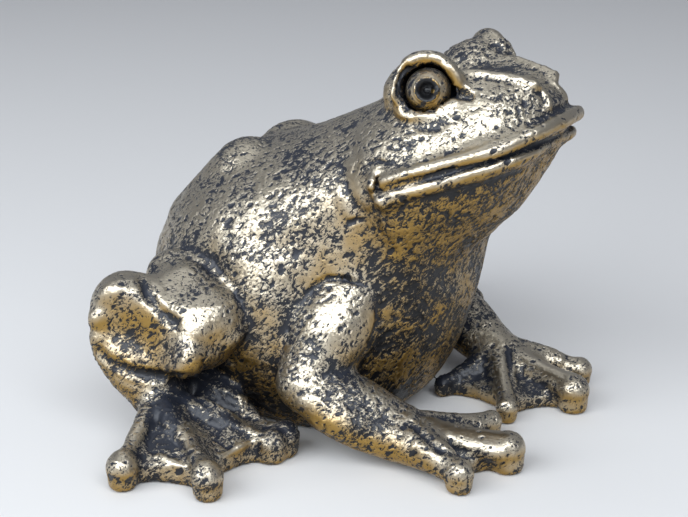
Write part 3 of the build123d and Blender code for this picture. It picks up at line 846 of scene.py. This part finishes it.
def antique_gold():
    """Gold paint brushed over a blue-black coat that stays in the pits and creases, with painted
    shade, highlights and reflections.
    """
    material, tree = new_material("antique_gold")
    place = in_millimetres(tree, attribute(tree, "rest", "Vector"))
    coat_and_painted_light = attribute(tree, "coat_and_painted_light")
    facing = attribute(tree, "facing")
    dark = pits(tree, place)
    for name in MARKS:
        dark = math_node(tree, "MAXIMUM", dark, marks(tree, name, place, coat_and_painted_light))
    # The gold and the dark coat turn from their painted floor reflection and shade to their painted
    # sky reflection as the skin faces up; the gold's tone also varies at random
    tone_and_painted_reflection = swing(tree, place, PATCH_SCALE, TONE_DETAIL)
    tone_and_painted_reflection = math_node(tree, "MULTIPLY_ADD", tone_and_painted_reflection, TONE_SHARE, facing)
    gold_with_painted_reflection = mixed(tree, ramp(tree, tone_and_painted_reflection, *GOLD_FACINGS), GOLD_PAINTED_FLOOR_REFLECTION, GOLD_PAINTED_SKY_REFLECTION)
    dark_colour = mixed(tree, ramp(tree, facing, *DARK_FACINGS), DARK_PAINTED_SHADE, DARK_PAINTED_SKY_REFLECTION)
    grain = noise(tree, place, GRAIN_SCALE, GRAIN_DETAIL)
    grain_height = math_node(tree, "MULTIPLY", grain, GRAIN_BUMP_SHARE)
    height = math_node(tree, "MULTIPLY_ADD", dark, MARK_BUMP_SHARE, grain_height)
    finish_material(
        tree,
        {
            "Base Color": mixed(tree, dark, gold_with_painted_reflection, dark_colour),
            "Metallic": math_node(tree, "SUBTRACT", 1, dark),
            "Roughness": ramp(tree, dark, 0, 1, GOLD_ROUGHNESS, DARK_ROUGHNESS),
            "Normal": bumped(tree, height, BUMP_SHARE, BUMP_HEIGHT),
            "Specular IOR Level": SPECULAR_SHARE,
            "Coat Weight": GLAZE_SHARE,
            "Coat Roughness": GLAZE_ROUGHNESS,
        },
    )
    return material


def plain_stuff(name):
    """Felt or steel: fine grain in its colour and its surface."""
    scale, dark_colour, pale_colour, metallic, roughness = STUFFS[name]
    material, tree = new_material(name)
    place = in_millimetres(tree, tree.nodes.new("ShaderNodeTexCoord").outputs["Object"])
    grain = noise(tree, place, scale, MARK_DETAIL, MARK_ROUGHNESS_SHARE)
    finish_material(
        tree,
        {
            "Base Color": mixed(tree, grain, dark_colour, pale_colour),
            "Metallic": metallic,
            "Roughness": roughness,
            "Normal": bumped(tree, grain, STUFF_BUMP_SHARE, STUFF_BUMP_HEIGHT),
        },
    )
    return material


def dress(piece, material, name):
    """Gives a piece its material and puts it in the place of a CAD node."""
    piece.data.materials.append(material)
    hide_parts(name)
    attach(piece, "root")


def relative_depth(surface):
    """Depth of each vertex in a hollow, from -1 on a sharp edge to 1 in a deep crease."""
    return (surface.hollows(BROAD_ROUNDS) / CREASE_DEPTH).clip(-1, 1)


def eye_piece(name, ball, side):
    """Eye ball of one side, with a bright iris ring round a dark, dished pupil."""
    middle, look, knob = [
        np.array(place) * (side, 1, 1) for place in (EYE_MIDDLE, EYE_LOOK, KNOB_PLACE)
    ]
    ball.smooth(EYE_SMOOTH_ROUNDS)
    turn = np.array(Matrix.Rotation(BALL_TURN * side, 3, "Z"))
    look = turn @ look
    offsets = (ball.places - middle) @ turn.T
    ball.places = middle + offsets
    ahead = offsets @ look
    front = ahead > 0
    aside = offsets - ahead[:, None] * look
    ring = np.linalg.norm(aside, axis=1)
    knob_gap = np.linalg.norm(aside - knob, axis=1)
    bowl_share = 1 - capped(ring, PUPIL_REACH) ** 2
    lift = front * (KNOB_HEIGHT * falloff(knob_gap, KNOB_REACH) - PUPIL_DEPTH * bowl_share)
    ball.places = ball.places + ball.normals() * BALL_SWELL + lift[:, None] * look
    pupil = front & (ring < PUPIL_REACH)
    coat_and_painted_light = np.full(len(ring), EYE_COVER_SHARE)
    coat_and_painted_light[front & (ring < IRIS_REACH)] = IRIS_COVER_SHARE
    coat_and_painted_light[pupil] = PUPIL_COVER_SHARE
    # Gilt on the knob, which also serves as a painted glint in the dark pupil
    coat_and_painted_light[front & (knob_gap < KNOB_GILT_AND_PAINTED_GLINT_REACH)] = IRIS_COVER_SHARE
    coat_and_painted_light = ball.blurred(coat_and_painted_light, EYE_BLUR_ROUNDS) + EYE_CREASE_SHARE * relative_depth(ball)
    facing = ball.normals()[:, 2]
    # Painted shade: the pupil is painted as if it faced down, in the dark coat's shade colour
    facing[pupil] = PUPIL_PAINTED_SHADE_FACING
    mesh = new_mesh(name + "_ball", ball.places.tolist(), ball.polygons.tolist())
    mesh.shade_smooth()
    set_attributes(mesh, {"rest": ball.places, "coat_and_painted_light": coat_and_painted_light, "facing": facing})
    return linked(name + "_ball", mesh)


def floor():
    """Plain pale floor."""
    corners = [Vector((x, y, 0)) * FLOOR_HALF for x, y in ((-1, -1), (1, -1), (1, 1), (-1, 1))]
    mesh = new_mesh("floor", corners, [(0, 1, 2, 3)])
    material, tree = new_material("floor_paper")
    finish_material(tree, {"Base Color": FLOOR_COLOUR, "Roughness": FLOOR_ROUGHNESS})
    mesh.materials.append(material)
    linked("floor", mesh)


def lamp(name, direction, distance, size, power):
    """Rectangular soft lamp that shines on the figure from a direction."""
    light = bpy.data.lights.new(name, "AREA")
    light.shape = "RECTANGLE"
    light.size, light.size_y = size
    light.energy = power
    light.color = LAMP_COLOUR
    made = linked(name, light)
    heading = direction.normalized()
    made.location = LAMP_AIM + heading * distance
    made.rotation_mode = "QUATERNION"
    made.rotation_quaternion = heading.to_track_quat("Z", "Y")


# Skin: the castings filled out and made one, then filleted, rounded and sculpted
block = remeshed(*shapes((*CASTINGS, *FILLERS)), SKIN_VOXEL)
sculpt(block, SWELLS)
draw_aside(block)
plane_faces(block)
block.places[:, 2] = block.places[:, 2].clip(0)
skin = remeshed(block.places.tolist(), block.polygons.tolist(), SKIN_VOXEL)
skin.smooth(SKIN_SMOOTH_ROUNDS)
skin_gaps = casting_gaps(skin)
seam_weights = np.exp(-skin_gaps / SEAM_BLEND)
seam_weights /= seam_weights.sum(axis=1, keepdims=True)

eye_gaps = [
    np.linalg.norm(skin.places - middle, axis=1) for middle in mirrored(np.array(EYE_MIDDLE))
]
eye_gap = np.min(eye_gaps, axis=0)
mouth_path = drawn_path(skin.tree(), STROKES["mouth slit"][2])
mouth_gap = np.min([path_gaps(skin.places, path)[0] for path in mirrored(mouth_path)], axis=0)
fill_mask = seam_weights @ FILL_SHARES
fill_mask *= capped(eye_gap - SOCKET_REACH, FILL_FADE)
fill_mask *= capped(mouth_gap - MOUTH_REACH, FILL_FADE)
skin.fill(fill_mask)
skin.round_off((1 - skin.places[:, 2] / SOLE_HEIGHT).clip(0, 1), SOLE_ROUNDS)
wear, grime = sculpt(skin, STROKES)
skin.round_off(capped(LID_REACH - eye_gap, LID_FADE), LID_ROUNDS)

# Share of the skin that the dark coat covers, with painted shade and painted highlights in it
balls = {name: remeshed(*shapes((name,)), EYE_VOXEL) for name in EYES}
skin_depth = relative_depth(skin)
# Dark coat of the castings, thicker in creases and grooves and thinner on worn ridges and edges,
# with painted shade where the skin is closed off and where it faces down, and painted shade and
# highlights drawn on it as strokes
coat_and_painted_light = (
    seam_weights @ COVER_SHARES
    + CREASE_SHARE * skin_depth.clip(0)
    + EDGE_SHARE * skin_depth.clip(None, 0)
    + SHADE_SHARE * shade(skin, balls.values())
    + GRIME_SHARE * grime
    + PAINTED_UNDER_SHADE_SHARE * (-skin.normals()[:, 2]).clip(0)
    + painted_light_added(skin, PAINTED_SHADE_AND_HIGHLIGHTS)
    - WEAR_SHARE * wear
).clip(None, COVER_LIMIT_SHARE)

# Relief, and the skin divided among the castings
rest = skin.places.copy()
# The facing turns each colour between its painted sky reflection and its painted floor reflection
# and shade, and the painted shade tones turn it further down
facing = skin.normals()[:, 2] + painted_light_added(skin, PAINTED_SHADE_TONES)
skin.places = rest + skin.normals() * relief(skin, coat_and_painted_light)[:, None]
gold = antique_gold()
attributes = {"rest": rest, "coat_and_painted_light": coat_and_painted_light, "facing": facing}
for name, piece in divided(skin, skin_gaps, attributes).items():
    dress(piece, gold, name)

# Felt and pins keep the shape of their CAD nodes
for name, stuff in STUFF_NODES.items():
    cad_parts[name].data.materials.clear()
    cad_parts[name].data.materials.append(plain_stuff(stuff))

# Eyes
for (name, ball), side in zip(balls.items(), SIDES):
    dress(eye_piece(name, ball, side), gold, name)

# Floor, lamps and sky
floor()
for name, (direction, distance, size, power) in LAMPS.items():
    lamp(name, direction, distance, size, power)
world = bpy.data.worlds.new("studio")
bpy.context.scene.world = world
world.use_nodes = True
background = world.node_tree.nodes["Background"]
background.inputs["Color"].default_value = WORLD_COLOUR
background.inputs["Strength"].default_value = WORLD_STRENGTH

# Camera of the photograph
camera_data = bpy.data.cameras.new("photo_camera")
camera_data.sensor_width = SENSOR_MILLIMETRES
camera_data.lens = SENSOR_MILLIMETRES * FOCAL_PIXELS / PHOTO_WIDTH
camera_data.clip_start = MILLIMETRE
camera = linked("photo_camera", camera_data)
camera.location = CAMERA_PLACE
camera.rotation_mode = "QUATERNION"
camera.rotation_quaternion = CAMERA_LOOK.to_track_quat("-Z", "Y")
bpy.context.scene.camera = camera
bpy.context.scene.view_settings.view_transform = "Standard"
